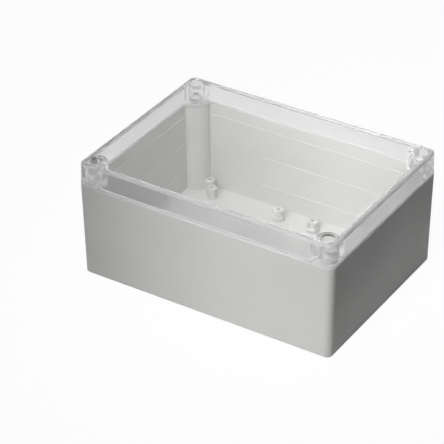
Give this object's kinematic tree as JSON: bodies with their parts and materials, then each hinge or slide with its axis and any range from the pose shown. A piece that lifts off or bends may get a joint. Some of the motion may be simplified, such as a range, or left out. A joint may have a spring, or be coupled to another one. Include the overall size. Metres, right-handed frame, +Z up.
{
  "type": "sealed instrument enclosure",
  "caption": "Rectangular grey plastic enclosure with a clear screw-down lid, corner posts outside the seal and moulded floor bosses for a circuit board.",
  "frame": {"origin": "middle of the underside", "axes": "+X along the length, +Y from front to back, +Z up through the lid"},
  "size_m": [0.175, 0.126, 0.078],
  "materials": {
    "grey_abs": "fine moulded texture, satin",
    "clear_polycarbonate": "clear and polished, with finely textured sides",
    "seal_rubber": "matt",
    "screw_steel": "bright stainless",
    "washer_steel": "stainless",
    "insert_brass": "turned"
  },
  "bodies": {
    "base": {"base": "grey_abs", "seal": "seal_rubber", "insert_front_left": "insert_brass", "insert_front_right": "insert_brass", "insert_back_left": "insert_brass", "insert_back_right": "insert_brass"},
    "lid": {"lid": "clear_polycarbonate"},
    "washer_front_left": {"washer_front_left": "washer_steel"},
    "washer_front_right": {"washer_front_right": "washer_steel"},
    "washer_back_left": {"washer_back_left": "washer_steel"},
    "washer_back_right": {"washer_back_right": "washer_steel"},
    "lid_screw_front_left": {"lid_screw_front_left": "screw_steel"},
    "lid_screw_front_right": {"lid_screw_front_right": "screw_steel"},
    "lid_screw_back_left": {"lid_screw_back_left": "screw_steel"},
    "lid_screw_back_right": {"lid_screw_back_right": "screw_steel"}
  },
  "joints": [
    {"name": "lid_lift", "type": "slide", "parent": "base", "child": "lid", "axis": [0, 0, 1], "range_m": [0, 0.1]},
    {"name": "screw_rise_front_left", "type": "slide", "parent": "lid", "child": "washer_front_left", "axis": [0, 0, 1], "range_m": [0, 0.0126]},
    {"name": "screw_rise_front_right", "type": "slide", "parent": "lid", "child": "washer_front_right", "axis": [0, 0, 1], "range_m": [0, 0.0126]},
    {"name": "screw_rise_back_left", "type": "slide", "parent": "lid", "child": "washer_back_left", "axis": [0, 0, 1], "range_m": [0, 0.0126]},
    {"name": "screw_rise_back_right", "type": "slide", "parent": "lid", "child": "washer_back_right", "axis": [0, 0, 1], "range_m": [0, 0.0126]},
    {"name": "screw_turn_front_left", "type": "hinge", "parent": "washer_front_left", "child": "lid_screw_front_left", "pos_m": [-0.08, -0.0555, 0.0665], "axis": [0, 0, 1], "range_deg": [0, 6480]},
    {"name": "screw_turn_front_right", "type": "hinge", "parent": "washer_front_right", "child": "lid_screw_front_right", "pos_m": [0.08, -0.0555, 0.0665], "axis": [0, 0, 1], "range_deg": [0, 6480]},
    {"name": "screw_turn_back_left", "type": "hinge", "parent": "washer_back_left", "child": "lid_screw_back_left", "pos_m": [-0.08, 0.0555, 0.0665], "axis": [0, 0, 1], "range_deg": [0, 6480]},
    {"name": "screw_turn_back_right", "type": "hinge", "parent": "washer_back_right", "child": "lid_screw_back_right", "pos_m": [0.08, 0.0555, 0.0665], "axis": [0, 0, 1], "range_deg": [0, 6480]}
  ],
  "couplings": [
    {"joint": "screw_turn_front_left", "follows": "screw_rise_front_left", "rad_per_m": 8976},
    {"joint": "screw_turn_front_right", "follows": "screw_rise_front_right", "rad_per_m": 8976},
    {"joint": "screw_turn_back_left", "follows": "screw_rise_back_left", "rad_per_m": 8976},
    {"joint": "screw_turn_back_right", "follows": "screw_rise_back_right", "rad_per_m": 8976}
  ]
}
